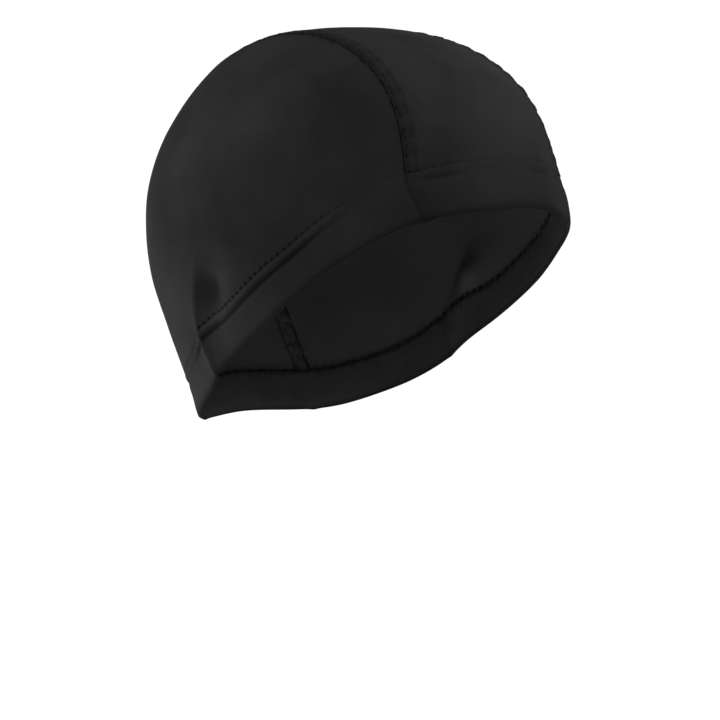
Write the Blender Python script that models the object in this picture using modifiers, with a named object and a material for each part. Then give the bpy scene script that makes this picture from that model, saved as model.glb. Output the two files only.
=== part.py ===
"""Stretch swim cap of three panels in its worn form.

Metres, +Z up. The forehead faces -Y and the wearer's left is +X. The shapes are worked out from the
middle of the head at its widest level. The objects are then lowered, so that the origin lies inside
the crown, where the top of the head presses.
"""

import bmesh
import bpy
import numpy as np

# Outside of the worn cap, from the middle of the head
FRONT_REACH = 0.102
BACK_REACH = 0.097
HALF_BREADTH = 0.079
CROWN_HEIGHT = 0.085
ROUNDNESS = 2.28

# The opening: how far the rim lies above the widest level at the forehead, and below it at the nape
RIM_RISE = 0.0136
NAPE_DROP = 0.081

# Cloth, hem and seams
CLOTH = 0.001
HEM_HEIGHT = 0.019
HEM_CLOTH = 0.002
STRIP_HALF_WIDTH = 0.044
SEAM_WIDTH = 0.004
SEAM_PROUD = 0.0006
SEAM_CLOTH = 0.0018
GAP = 0.0003

# The crease behind each ear and the hollow in front of it
CREASE_HEIGHT = 0.0018
CREASE_WIDTH = 0.006
HOLLOW_DEPTH = 0.003
HOLLOW_WIDTH = 0.010
HOLLOW_SETBACK = 0.011

# Faces along and across each piece
SIDE_COLUMNS = 40
SIDE_ROWS = 14
STRIP_COLUMNS = 8
STRIP_ROWS = 44
SEAM_ROWS = 56
HEM_COLUMNS = 96
HEM_ROWS = 3

# Fullness above the widest level, as shares of a plain dome: height is a share of CROWN_HEIGHT
DOME = [
    # height, front, side, back
    (0.00, 1.000, 1.000, 1.000),
    (0.15, 0.987, 1.000, 1.000),
    (0.30, 0.960, 0.992, 0.992),
    (0.45, 0.962, 0.984, 0.980),
    (0.60, 0.980, 0.978, 0.965),
    (0.75, 1.000, 0.988, 0.972),
    (0.88, 1.005, 1.005, 1.015),
    (1.00, 1.000, 1.000, 1.000),
]

# Width below the widest level, as shares of the widest: depth is a share of NAPE_DROP
LEVELS = [
    # depth, front, side, back
    (0.00, 1.000, 1.000, 1.000),
    (0.25, 0.990, 0.974, 0.976),
    (0.50, 0.970, 0.905, 0.898),
    (0.75, 0.950, 0.845, 0.800),
    (0.90, 0.940, 0.810, 0.738),
    (1.00, 0.940, 0.800, 0.716),
]

# The rim's fall from the forehead to the nape, as shares of RIM_RISE + NAPE_DROP, and the height of
# the hem above it, as a share of HEM_HEIGHT
RIM = [
    # degrees from the front, fall on the wearer's right, on the left, hem
    (0, 0.000, 0.000, 1.00),
    (12, 0.012, 0.024, 1.00),
    (22, 0.038, 0.078, 1.00),
    (30, 0.076, 0.110, 1.00),
    (45, 0.214, 0.220, 0.97),
    (60, 0.385, 0.385, 0.91),
    (75, 0.542, 0.542, 0.89),
    (90, 0.674, 0.674, 0.88),
    (103, 0.800, 0.800, 0.97),
    (113, 0.868, 0.868, 0.90),
    (125, 0.928, 0.928, 0.85),
    (140, 0.985, 0.985, 0.85),
    (180, 1.000, 1.000, 0.85),
]

# Half width of the centre strip, as shares of STRIP_HALF_WIDTH, by the angle up over the head
STRIP = [
    # degrees up from the forehead, share
    (-10, 0.92),
    (5, 0.94),
    (15, 0.99),
    (30, 0.94),
    (45, 0.87),
    (60, 0.79),
    (75, 0.70),
    (90, 0.62),
    (105, 0.56),
    (125, 0.54),
    (155, 0.60),
    (185, 0.68),
    (230, 0.76),
]

# The crease behind each ear, and the hollow in front of it, as shares of CREASE_HEIGHT and
# HOLLOW_DEPTH: depth is a share of NAPE_DROP
CREASE = [
    # depth, degrees from the front, ridge, hollow
    (0.02, 96, 0.0, 0.0),
    (0.15, 100, 0.4, 0.5),
    (0.28, 103, 0.9, 1.0),
    (0.42, 105, 1.0, 0.6),
    (0.55, 104, 1.0, 0.2),
    (0.70, 99, 0.9, 0.0),
    (0.85, 97, 0.5, 0.0),
    (1.05, 96, 0.2, 0.0),
]


def column(table, number):
    return np.array([row[number] for row in table], float)


def smooth_through(table, number, at):
    """A smooth curve through one column of a table, level at both ends."""
    knots = column(table, 0)
    values = column(table, number)
    slopes = np.gradient(values, knots)
    slopes[0] = 0.0
    slopes[-1] = 0.0
    at = np.clip(at, knots[0], knots[-1])
    span = np.clip(np.searchsorted(knots, at) - 1, 0, len(knots) - 2)
    width = knots[span + 1] - knots[span]
    way = (at - knots[span]) / width
    start = values[span] * (1 + 2 * way) * (1 - way) ** 2
    end = values[span + 1] * (3 - 2 * way) * way**2
    lean = slopes[span] * way * (1 - way) ** 2 - slopes[span + 1] * way**2 * (1 - way)
    return start + end + lean * width


def crease(azimuth, height):
    """How far the crease behind the ear stands out, and the hollow before it goes in."""
    depth = -height / NAPE_DROP
    degrees = np.degrees(np.abs(azimuth))
    behind = np.radians(degrees - smooth_through(CREASE, 1, depth)) * HALF_BREADTH
    ridge = CREASE_HEIGHT * np.exp(-np.abs(behind) / CREASE_WIDTH)
    hollow = HOLLOW_DEPTH * np.exp(-(((behind + HOLLOW_SETBACK) / HOLLOW_WIDTH) ** 2))
    return ridge * smooth_through(CREASE, 2, depth) - hollow * smooth_through(CREASE, 3, depth)


def reach(azimuth, height):
    """How far the outside lies from the upright axis. The azimuth is 0 at the front, + at the left."""
    length = np.where(np.abs(azimuth) < np.pi / 2, FRONT_REACH, BACK_REACH)
    widest = 1 / np.hypot(np.cos(azimuth) / length, np.sin(azimuth) / HALF_BREADTH)
    up = np.clip(height / CROWN_HEIGHT, 0, 1)
    dome = (1 - up**ROUNDNESS) ** (1 / ROUNDNESS)
    above = dome * fullness(DOME, up, azimuth)
    below = fullness(LEVELS, -height / NAPE_DROP, azimuth)
    return widest * np.where(height > 0, above, below) + crease(azimuth, height)


def fullness(table, at, azimuth):
    """A share read from a table's front, side and back columns, blended by azimuth."""
    front, side, back = (smooth_through(table, number, at) for number in (1, 2, 3))
    ends = np.where(np.abs(azimuth) < np.pi / 2, front, back)
    return ends * np.cos(azimuth) ** 2 + side * np.sin(azimuth) ** 2


def place(azimuth, height):
    """The point of the outside at this azimuth and height."""
    out = reach(azimuth, height)
    return np.stack([out * np.sin(azimuth), -out * np.cos(azimuth), height + 0 * out], -1)


def cast(directions):
    """The points of the outside that lie in these directions from the middle of the head."""
    directions = directions / np.linalg.norm(directions, axis=-1, keepdims=True)
    azimuth = np.arctan2(directions[..., 0], -directions[..., 1])
    across = np.hypot(directions[..., 0], directions[..., 1])
    low = np.zeros(across.shape)
    high = np.full(across.shape, 2 * (FRONT_REACH + BACK_REACH))
    for _ in range(40):
        middle = (low + high) / 2
        height = middle * directions[..., 2]
        inside = (middle * across < reach(azimuth, height)) & (height < CROWN_HEIGHT)
        low = np.where(inside, middle, low)
        high = np.where(inside, high, middle)
    return directions * low[..., None]


def normals(points):
    """Which way the outside faces at these points."""
    step = 0.0005
    east = np.stack([-points[..., 1], points[..., 0], 0 * points[..., 0]], -1)
    east = east + np.array([1e-9, 0, 0])
    east = east / np.linalg.norm(east, axis=-1, keepdims=True)
    north = np.cross(points, east)
    north = north / np.linalg.norm(north, axis=-1, keepdims=True)
    along = cast(points + east * step) - cast(points - east * step)
    up = cast(points + north * step) - cast(points - north * step)
    facing = np.cross(along, up)
    facing = facing / np.linalg.norm(facing, axis=-1, keepdims=True)
    outward = np.sign(np.sum(facing * points, -1, keepdims=True))
    return facing * outward


def rim_height(azimuth):
    """The rim's height by azimuth. The two columns of its table meet at the front and the back."""
    degrees = np.degrees(np.abs(azimuth))
    fall = np.where(azimuth < 0, smooth_through(RIM, 1, degrees), smooth_through(RIM, 2, degrees))
    return RIM_RISE - fall * (RIM_RISE + NAPE_DROP)


def hem_line(azimuth, share, clear=0.0):
    """The height of the line at this share of the hem's height above the rim, and this far clear."""
    step = 0.01
    rise = rim_height(azimuth + step) - rim_height(azimuth - step)
    run = 2 * step * reach(azimuth, rim_height(azimuth))
    above = share * HEM_HEIGHT * smooth_through(RIM, 3, np.degrees(np.abs(azimuth))) + clear
    return rim_height(azimuth) + above * np.hypot(1, rise / run)


def seam_line(side, aside, rows):
    """Points along one seam, this far aside of its middle, from the hem at the front to the nape.

    side is 1 for the wearer's left and -1 for the right. A positive aside is away from the strip.
    """
    degrees = np.linspace(-25, 245, 541)
    angle = np.radians(degrees)
    half = side * STRIP_HALF_WIDTH * smooth_through(STRIP, 1, degrees)
    guess = np.stack([0 * angle, -np.cos(angle), np.sin(angle)], -1)
    near = np.zeros(angle.shape)
    far = np.full(angle.shape, FRONT_REACH + BACK_REACH)
    for _ in range(40):
        middle = (near + far) / 2
        points = guess * middle[:, None]
        points[:, 0] = half
        inside = np.linalg.norm(points, axis=-1) < np.linalg.norm(cast(points), axis=-1)
        near = np.where(inside, middle, near)
        far = np.where(inside, far, middle)
    points = guess * near[:, None]
    points[:, 0] = half
    along = np.gradient(points, axis=0)
    out = np.cross(normals(points), along)
    out = out / np.linalg.norm(out, axis=-1, keepdims=True)
    out = out * side * np.sign(out[:, :1])
    points = cast(points + out * aside)
    azimuth = np.arctan2(points[:, 0], -points[:, 1])
    clear = points[:, 2] - hem_line(azimuth, 1, GAP)
    return evenly(points, clear, rows)


def evenly(points, clear, rows):
    """The stretch of a line where clear is positive, as evenly spaced points with exact ends."""
    kept = np.flatnonzero(clear > 0)
    first, last = kept[0], kept[-1]
    share = clear[first] / (clear[first] - clear[first - 1])
    start = points[first] + share * (points[first - 1] - points[first])
    share = clear[last] / (clear[last] - clear[last + 1])
    end = points[last] + share * (points[last + 1] - points[last])
    line = np.concatenate([[start], points[first : last + 1], [end]])
    walked = np.concatenate([[0], np.cumsum(np.linalg.norm(np.diff(line, axis=0), axis=1))])
    at = np.linspace(0, walked[-1], rows + 1)
    return np.stack([np.interp(at, walked, line[:, i]) for i in range(3)], -1)


def between(start, end, shares):
    """Points on the outside along the great arcs from start to end, one row for each share."""
    first = start / np.linalg.norm(start, axis=-1, keepdims=True)
    second = end / np.linalg.norm(end, axis=-1, keepdims=True)
    angle = np.arccos(np.clip(np.sum(first * second, -1, keepdims=True), -1, 1))
    angle = np.maximum(angle, 1e-6)
    rows = [first * np.sin((1 - s) * angle) + second * np.sin(s * angle) for s in shares]
    return cast(np.stack(rows) / np.sin(angle))


def make_piece(name, grid, thickness, closed, collection):
    """A wall whose outer face is a grid of points and whose inner face lies a thickness inside."""
    rows, columns = grid.shape[:2]
    shape = bmesh.new()
    points = [[shape.verts.new(point) for point in row] for row in grid]
    for i in range(rows - 1):
        for j in range(columns if closed else columns - 1):
            k = (j + 1) % columns
            shape.faces.new((points[i][j], points[i][k], points[i + 1][k], points[i + 1][j]))
    bmesh.ops.remove_doubles(shape, verts=shape.verts, dist=1e-6)
    shape.normal_update()
    facing = sum(face.normal.dot(face.calc_center_median()) for face in shape.faces)
    if facing < 0:
        bmesh.ops.reverse_faces(shape, faces=shape.faces)
    mesh = bpy.data.meshes.new(name)
    shape.to_mesh(mesh)
    shape.free()
    mesh.shade_smooth()
    piece = bpy.data.objects.new(name, mesh)
    piece.location.z = CLOTH - CROWN_HEIGHT
    wall = piece.modifiers.new("Wall", "SOLIDIFY")
    wall.thickness = thickness
    wall.offset = -1
    collection.objects.link(piece)
    return piece


def give_material(piece, name, color, roughness):
    """A plain cloth material of the piece's own."""
    material = bpy.data.materials.new(name)
    material.use_nodes = True
    shader = material.node_tree.nodes["Principled BSDF"]
    shader.inputs["Base Color"].default_value = (*color, 1)
    shader.inputs["Roughness"].default_value = roughness
    shader.inputs["Metallic"].default_value = 0
    piece.data.materials.append(material)


def make_strip(collection):
    """The centre panel, between the inner edges of the two seams."""
    aside = -(SEAM_WIDTH / 2 + GAP)
    right = seam_line(-1, aside, STRIP_ROWS)
    left = seam_line(1, aside, STRIP_ROWS)
    grid = between(right, left, np.linspace(0, 1, STRIP_COLUMNS + 1))
    ends_on_hem(grid)
    strip = make_piece("centre_panel", grid, CLOTH, False, collection)
    give_material(strip, "centre_cloth", (0.012, 0.012, 0.013), 0.6)
    return strip


def ends_on_hem(grid):
    """Moves the strip's first and last points onto the line just above the hem."""
    for end in (0, -1):
        azimuth = np.arctan2(grid[:, end, 0], -grid[:, end, 1])
        grid[:, end] = place(azimuth, hem_line(azimuth, 1, GAP))


def make_side(name, side, collection):
    """A side panel, between the outer edge of its seam and the line above the hem."""
    seam = seam_line(side, SEAM_WIDTH / 2 + GAP, SIDE_COLUMNS)
    ends = np.arctan2(seam[[0, -1], 0], -seam[[0, -1], 1])
    azimuth = np.linspace(ends[0], ends[1], 721)
    hem = place(azimuth, hem_line(azimuth, 1, GAP))
    hem = evenly(hem, spread(len(hem)), SIDE_COLUMNS)
    hem[0] = seam[0]
    hem[-1] = seam[-1]
    grid = between(seam, hem, np.linspace(0, 1, SIDE_ROWS + 1))
    panel = make_piece(name, grid, CLOTH, False, collection)
    give_material(panel, name + "_cloth", (0.012, 0.012, 0.013), 0.6)
    return panel


def spread(count):
    """Marks every point of a line but its two ends as clear."""
    clear = np.ones(count)
    clear[[0, -1]] = -1e-9
    return clear


def make_seam(name, side, collection):
    """A raised seam: a low roof of cloth along the seam's line, a little proud of the panels."""
    offsets = (-SEAM_WIDTH / 2, 0, SEAM_WIDTH / 2)
    rises = (SEAM_PROUD / 3, SEAM_PROUD, SEAM_PROUD / 3)
    lines = [seam_line(side, aside, SEAM_ROWS) for aside in offsets]
    grid = np.stack([line + normals(line) * rise for line, rise in zip(lines, rises)])
    seam = make_piece(name, grid, SEAM_CLOTH, False, collection)
    give_material(seam, name + "_thread", (0.008, 0.008, 0.009), 0.75)
    return seam


def make_hem(collection):
    """The turned edge of double cloth, a closed band above the rim."""
    azimuth = np.linspace(-np.pi, np.pi, HEM_COLUMNS, endpoint=False)
    heights = [hem_line(azimuth, share) for share in np.linspace(0, 1, HEM_ROWS + 1)]
    grid = np.stack([place(azimuth, height) for height in heights])
    hem = make_piece("hem", grid, HEM_CLOTH, True, collection)
    give_material(hem, "hem_cloth", (0.014, 0.014, 0.015), 0.65)
    return hem


def main():
    for old in list(bpy.data.objects):
        bpy.data.objects.remove(old)
    collection = bpy.data.collections.new("swim_cap")
    bpy.context.scene.collection.children.link(collection)
    crown = bpy.data.objects.new("crown_inside", None)
    collection.objects.link(crown)
    pieces = [
        make_strip(collection),
        make_side("right_panel", -1, collection),
        make_side("left_panel", 1, collection),
        make_seam("right_seam", -1, collection),
        make_seam("left_seam", 1, collection),
        make_hem(collection),
    ]
    for piece in pieces:
        piece.parent = crown


main()
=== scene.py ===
import math

import bpy
import numpy as np
from mathutils import Matrix, Vector


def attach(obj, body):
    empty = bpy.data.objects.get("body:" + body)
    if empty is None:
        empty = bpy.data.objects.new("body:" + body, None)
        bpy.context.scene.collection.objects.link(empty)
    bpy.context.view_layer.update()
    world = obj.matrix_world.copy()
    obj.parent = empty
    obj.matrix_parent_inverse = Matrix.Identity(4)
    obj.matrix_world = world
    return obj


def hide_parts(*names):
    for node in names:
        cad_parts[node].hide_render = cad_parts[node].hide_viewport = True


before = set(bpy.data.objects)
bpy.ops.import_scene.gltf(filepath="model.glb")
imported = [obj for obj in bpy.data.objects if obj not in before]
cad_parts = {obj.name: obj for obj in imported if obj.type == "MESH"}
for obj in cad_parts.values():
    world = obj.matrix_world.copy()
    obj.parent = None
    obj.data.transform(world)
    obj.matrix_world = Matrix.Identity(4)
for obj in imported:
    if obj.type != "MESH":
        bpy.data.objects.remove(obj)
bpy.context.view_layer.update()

# The worn form, in metres, as the solids have it
capForm = {
    "frontReach": 0.102,
    "backReach": 0.097,
    "halfBreadth": 0.079,
    "crownHeight": 0.085,
    "roundness": 2.28,
    "rimRise": 0.0136,
    "napeDrop": 0.081,
    "hemHeight": 0.019,
    "stripHalfWidth": 0.044,
    "creaseHeight": 0.0018,
    "creaseWidth": 0.006,
    "hollowDepth": 0.003,
    "hollowWidth": 0.010,
    "hollowSetback": 0.011,
    "crestHeight": 0.0007,  # a finer fold along the crease than the solids carry
    "crestWidth": 0.0020,
    "pitDepth": 0.0024,
    "pitRadius": 0.0060,
    "pitSetback": 0.0080,
    "pitShare": 0.27,
    "creaseSoftness": 0.0005,  # rounds the edges of the ridge and the fold
    "headMiddle": -0.084,  # height of the head's middle under the origin
}

# height share, front, side, back
domeShares = [
    (0.00, 1.000, 1.000, 1.000),
    (0.15, 0.987, 1.000, 1.000),
    (0.30, 0.960, 0.992, 0.992),
    (0.45, 0.962, 0.984, 0.980),
    (0.60, 0.980, 0.978, 0.965),
    (0.75, 1.000, 0.988, 0.972),
    (0.88, 1.005, 1.005, 1.015),
    (1.00, 1.000, 1.000, 1.000),
]

# depth share, front, side, back
levelShares = [
    (0.00, 1.000, 1.000, 1.000),
    (0.25, 0.990, 0.974, 0.976),
    (0.50, 0.970, 0.905, 0.898),
    (0.75, 0.950, 0.845, 0.800),
    (0.90, 0.940, 0.810, 0.738),
    (1.00, 0.940, 0.800, 0.716),
]

# degrees from the front, fall on the wearer's right, on the left, height of the hem
rimShares = [
    (0, 0.000, 0.000, 1.00),
    (12, 0.012, 0.024, 1.00),
    (22, 0.038, 0.078, 1.00),
    (30, 0.076, 0.110, 1.00),
    (45, 0.214, 0.220, 0.97),
    (60, 0.385, 0.385, 0.91),
    (75, 0.542, 0.542, 0.89),
    (90, 0.674, 0.674, 0.88),
    (103, 0.800, 0.800, 0.97),
    (113, 0.868, 0.868, 0.90),
    (125, 0.928, 0.928, 0.85),
    (140, 0.985, 0.985, 0.85),
    (180, 1.000, 1.000, 0.85),
]

# degrees up over the head from the forehead, half width of the centre strip
stripShares = [
    (-10, 0.92),
    (5, 0.94),
    (15, 0.99),
    (30, 0.94),
    (45, 0.87),
    (60, 0.79),
    (75, 0.70),
    (90, 0.62),
    (105, 0.56),
    (125, 0.54),
    (155, 0.60),
    (185, 0.68),
    (230, 0.76),
]

# depth share, degrees from the front, ridge, hollow
creaseShares = [
    (0.02, 96, 0.0, 0.0),
    (0.15, 98, 0.4, 0.5),
    (0.28, 100, 0.9, 1.0),
    (0.42, 102.5, 1.0, 0.6),
    (0.55, 102, 1.0, 0.2),
    (0.70, 98, 0.9, 0.0),
    (0.85, 97, 0.5, 0.0),
    (1.05, 96, 0.2, 0.0),
]

mm = 0.001
halvings = 32  # of every search for a point on the form
headPlace = np.array([0, 0, capForm["headMiddle"]])


# Form of the cap

def column(table, number):
    return np.array([row[number] for row in table], float)


def smoothThrough(table, number, at):
    knots = column(table, 0)
    values = column(table, number)
    slopes = np.gradient(values, knots)
    slopes[0] = 0.0
    slopes[-1] = 0.0
    at = np.clip(at, knots[0], knots[-1])
    span = np.clip(np.searchsorted(knots, at) - 1, 0, len(knots) - 2)
    width = knots[span + 1] - knots[span]
    way = (at - knots[span]) / width
    start = values[span] * (1 + 2 * way) * (1 - way) ** 2
    end = values[span + 1] * (3 - 2 * way) * way**2
    lean = slopes[span] * way * (1 - way) ** 2 - slopes[span + 1] * way**2 * (1 - way)
    return start + end + lean * width


def smoothStep(low, high, at):
    way = np.clip((at - low) / (high - low), 0, 1)
    return way * way * (3 - 2 * way)


def bell(at, middle, width):
    return np.exp(-(((at - middle) / width) ** 2))


def unit(vectors):
    return vectors / np.maximum(np.linalg.norm(vectors, axis=-1, keepdims=True), 1e-12)


def azimuthOf(points):
    return np.arctan2(points[..., 0], -points[..., 1])


def creaseOut(azimuth, height):
    depth = -height / capForm["napeDrop"]
    degrees = np.degrees(np.abs(azimuth))
    behind = np.radians(degrees - smoothThrough(creaseShares, 1, depth)) * capForm["halfBreadth"]
    away = np.hypot(behind, capForm["creaseSoftness"])
    ridge = capForm["creaseHeight"] * np.exp(-away / capForm["creaseWidth"])
    crest = capForm["crestHeight"] * np.exp(-away / capForm["crestWidth"])
    hollow = capForm["hollowDepth"] * bell(behind, -capForm["hollowSetback"], capForm["hollowWidth"])
    pit = capForm["pitDepth"] * bell(behind, -capForm["pitSetback"], capForm["pitRadius"])
    pit = pit * bell(depth, capForm["pitShare"], capForm["pitRadius"] / capForm["napeDrop"])
    ridgeShare = smoothThrough(creaseShares, 2, depth)
    hollowShare = smoothThrough(creaseShares, 3, depth)
    return (ridge + crest) * ridgeShare - hollow * hollowShare - pit


def fullness(table, at, azimuth):
    front, side, back = (smoothThrough(table, number, at) for number in (1, 2, 3))
    ends = np.where(np.abs(azimuth) < np.pi / 2, front, back)
    return ends * np.cos(azimuth) ** 2 + side * np.sin(azimuth) ** 2


def reach(azimuth, height):
    length = np.where(np.abs(azimuth) < np.pi / 2, capForm["frontReach"], capForm["backReach"])
    widest = 1 / np.hypot(np.cos(azimuth) / length, np.sin(azimuth) / capForm["halfBreadth"])
    up = np.clip(height / capForm["crownHeight"], 0, 1)
    power = capForm["roundness"]
    above = (1 - up**power) ** (1 / power) * fullness(domeShares, up, azimuth)
    below = fullness(levelShares, -height / capForm["napeDrop"], azimuth)
    return widest * np.where(height > 0, above, below) + creaseOut(azimuth, height)


def place(azimuth, height):
    out = reach(azimuth, height)
    return np.stack([out * np.sin(azimuth), -out * np.cos(azimuth), height + 0 * out], -1)


def cast(directions):
    directions = unit(directions)
    azimuth = azimuthOf(directions)
    across = np.hypot(directions[..., 0], directions[..., 1])
    low = np.zeros(across.shape)
    high = np.full(across.shape, 2 * (capForm["frontReach"] + capForm["backReach"]))
    for _ in range(halvings):
        middle = (low + high) / 2
        height = middle * directions[..., 2]
        inside = (middle * across < reach(azimuth, height)) & (height < capForm["crownHeight"])
        low = np.where(inside, middle, low)
        high = np.where(inside, high, middle)
    return directions * low[..., None]


def formNormals(points):
    step = 0.0005
    east = np.stack([-points[..., 1], points[..., 0], 0 * points[..., 0]], -1)
    east = unit(east + np.array([1e-9, 0, 0]))
    north = unit(np.cross(points, east))
    along = cast(points + east * step) - cast(points - east * step)
    up = cast(points + north * step) - cast(points - north * step)
    facing = unit(np.cross(along, up))
    return facing * np.sign(np.sum(facing * points, -1, keepdims=True))


def rimHeight(azimuth):
    degrees = np.degrees(np.abs(azimuth))
    right = smoothThrough(rimShares, 1, degrees)
    left = smoothThrough(rimShares, 2, degrees)
    fall = np.where(azimuth < 0, right, left)
    return capForm["rimRise"] - fall * (capForm["rimRise"] + capForm["napeDrop"])


def hemLine(azimuth, share, clear=0.0):
    step = 0.01
    rise = rimHeight(azimuth + step) - rimHeight(azimuth - step)
    run = 2 * step * reach(azimuth, rimHeight(azimuth))
    above = share * capForm["hemHeight"] * smoothThrough(rimShares, 3, np.degrees(np.abs(azimuth))) + clear
    return rimHeight(azimuth) + above * np.hypot(1, rise / run)


def evenly(points, clear, rows):
    kept = np.flatnonzero(clear > 0)
    first, last = kept[0], kept[-1]
    share = clear[first] / (clear[first] - clear[first - 1])
    start = points[first] + share * (points[first - 1] - points[first])
    share = clear[last] / (clear[last] - clear[last + 1])
    end = points[last] + share * (points[last + 1] - points[last])
    return respace(np.concatenate([[start], points[first : last + 1], [end]]), rows)


def walkAlong(line):
    return np.concatenate([[0], np.cumsum(np.linalg.norm(np.diff(line, axis=0), axis=1))])


def respace(line, rows):
    walked = walkAlong(line)
    at = np.linspace(0, walked[-1], rows + 1)
    return np.stack([np.interp(at, walked, line[:, i]) for i in range(3)], -1)


# side is 1 for the wearer's left. A positive aside is away from the centre strip
def seamLine(side, aside, rows, share=1.0, clear=0.0):
    degrees = np.linspace(-25, 245, 721)  # from the forehead's rim over the crown to the nape's
    angle = np.radians(degrees)
    half = side * capForm["stripHalfWidth"] * smoothThrough(stripShares, 1, degrees)
    guess = np.stack([0 * angle, -np.cos(angle), np.sin(angle)], -1)
    near = np.zeros(angle.shape)
    far = np.full(angle.shape, capForm["frontReach"] + capForm["backReach"])
    for _ in range(halvings):
        middle = (near + far) / 2
        points = guess * middle[:, None]
        points[:, 0] = half
        inside = np.linalg.norm(points, axis=-1) < np.linalg.norm(cast(points), axis=-1)
        near = np.where(inside, middle, near)
        far = np.where(inside, far, middle)
    points = guess * near[:, None]
    points[:, 0] = half
    along = np.gradient(points, axis=0)
    out = unit(np.cross(formNormals(points), along))
    out = out * side * np.sign(out[:, :1])
    points = cast(points + out * aside)
    return evenly(points, points[:, 2] - hemLine(azimuthOf(points), share, clear), rows)


# One row of points for each row of shares, on the great arcs from start to end
def between(start, end, shares):
    first, second = unit(start), unit(end)
    angle = np.arccos(np.clip(np.sum(first * second, -1), -1, 1))
    angle = np.maximum(angle, 1e-6)
    a = np.sin((1 - shares) * angle)[..., None]
    b = np.sin(shares * angle)[..., None]
    return cast((first * a + second * b) / np.sin(angle)[..., None])


# Slow waves that don't repeat, from -1 to 1
def drift(at, period, seed):
    phase = at / period * 2 * np.pi
    return (
        0.5 * np.sin(phase + seed)
        + 0.3 * np.sin(phase * 1.73 + 2.1 * seed)
        + 0.2 * np.sin(phase * 2.61 + 4.7 * seed)
    )


def gridNormals(grid, closed=False):
    if closed:
        grid = np.concatenate([grid[:, -2:-1], grid, grid[:, 1:2]], 1)
    facing = unit(np.cross(np.gradient(grid, axis=1), np.gradient(grid, axis=0)))
    if closed:
        facing = facing[:, 1:-1]
        grid = grid[:, 1:-1]
    outward = np.sign(np.sum(facing * grid, -1))
    return facing * np.sign(outward.sum())


# Camera at the photograph's angle, and the light

photoView = {
    "azimuth": -43.0,
    "elevation": 3.0,
    "distance": 1.5,
    "lens": 178.0,
    "focalPixels": 3560.0,
    "middlePixel": (352.5, 229.5),  # where the head's middle shows
    "framePixels": 720,
    "nearest": 0.05,  # what the camera shows, in metres from it
    "farthest": 60,
}


def wayBack(azimuth, elevation):
    azimuth = math.radians(azimuth)
    elevation = math.radians(elevation)
    return Vector((
        math.sin(azimuth) * math.cos(elevation),
        -math.cos(azimuth) * math.cos(elevation),
        math.sin(elevation),
    ))


def deselectAll():
    if bpy.context.mode != "OBJECT":
        bpy.ops.object.mode_set(mode="OBJECT")
    bpy.ops.object.select_all(action="DESELECT")


def turnTo(thing, ahead):
    thing.rotation_mode = "QUATERNION"
    thing.rotation_quaternion = ahead.to_track_quat("-Z", "Y")


def makeCamera():
    back = wayBack(photoView["azimuth"], photoView["elevation"])
    azimuth = math.radians(photoView["azimuth"])
    right = Vector((math.cos(azimuth), math.sin(azimuth), 0))
    up = back.cross(right)
    middle = Vector(headPlace)
    scale = photoView["distance"] / photoView["focalPixels"]
    aside = (photoView["framePixels"] / 2 - photoView["middlePixel"][0]) * scale
    below = (photoView["framePixels"] / 2 - photoView["middlePixel"][1]) * scale
    deselectAll()
    bpy.ops.object.camera_add(location=middle + back * photoView["distance"])
    camera = bpy.context.object
    camera.name = "photoCamera"
    camera.data.lens = photoView["lens"]
    aim = middle + right * aside - up * below
    turnTo(camera, aim - camera.location)
    camera.data.clip_start = photoView["nearest"]
    camera.data.clip_end = photoView["farthest"]
    bpy.context.scene.camera = camera
    print("camera made")


studioLights = {
    # name: azimuth, elevation, distance, size, power
    "upperLeft": (-112, 44, 1.8, 0.6, 27.0),
    "lowBack": (-162, -28, 1.0, 0.3, 25.0),
    "upperRight": (50, 30, 1.8, 0.6, 36.0),
}

kickerLights = {
    # narrow soft beams. name: azimuth, elevation, distance, cone in degrees, power, where they aim
    "foreheadKicker": (12, 38, 1.2, 4.4, 175.0, (0.014, -0.064, -0.020)),
    "crownKicker": (-80, 36, 1.2, 4.0, 120.0, (-0.066, 0.010, -0.028)),
}

kickerRadius = 0.04
whiteSurround = {"color": (1, 1, 1, 1), "strength": 1.05}


def makeKickers():
    for name, (azimuth, elevation, distance, cone, power, aim) in kickerLights.items():
        back = wayBack(azimuth, elevation)
        deselectAll()
        bpy.ops.object.light_add(type="SPOT", location=Vector(aim) + back * distance)
        light = bpy.context.object
        light.name = name
        turnTo(light, -back)
        light.data.spot_size = math.radians(cone)
        light.data.spot_blend = 1.0
        light.data.shadow_soft_size = kickerRadius
        light.data.energy = power
    print("kicker lights made")


def makeLights():
    for name, (azimuth, elevation, distance, size, power) in studioLights.items():
        back = wayBack(azimuth, elevation)
        deselectAll()
        bpy.ops.object.light_add(type="AREA", location=back * distance + Vector(headPlace))
        light = bpy.context.object
        light.name = name + "Light"
        turnTo(light, -back)
        light.data.shape = "DISK"
        light.data.size = size
        light.data.energy = power
    print("lights made")


def makeSurround():
    world = bpy.data.worlds.new("studioWorld")
    world.use_nodes = True
    background = world.node_tree.nodes["Background"]
    background.inputs["Color"].default_value = whiteSurround["color"]
    background.inputs["Strength"].default_value = whiteSurround["strength"]
    bpy.context.scene.world = world
    bpy.context.scene.view_settings.view_transform = "Standard"
    print("white surround made")


# Shader maths as expressions

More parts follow.
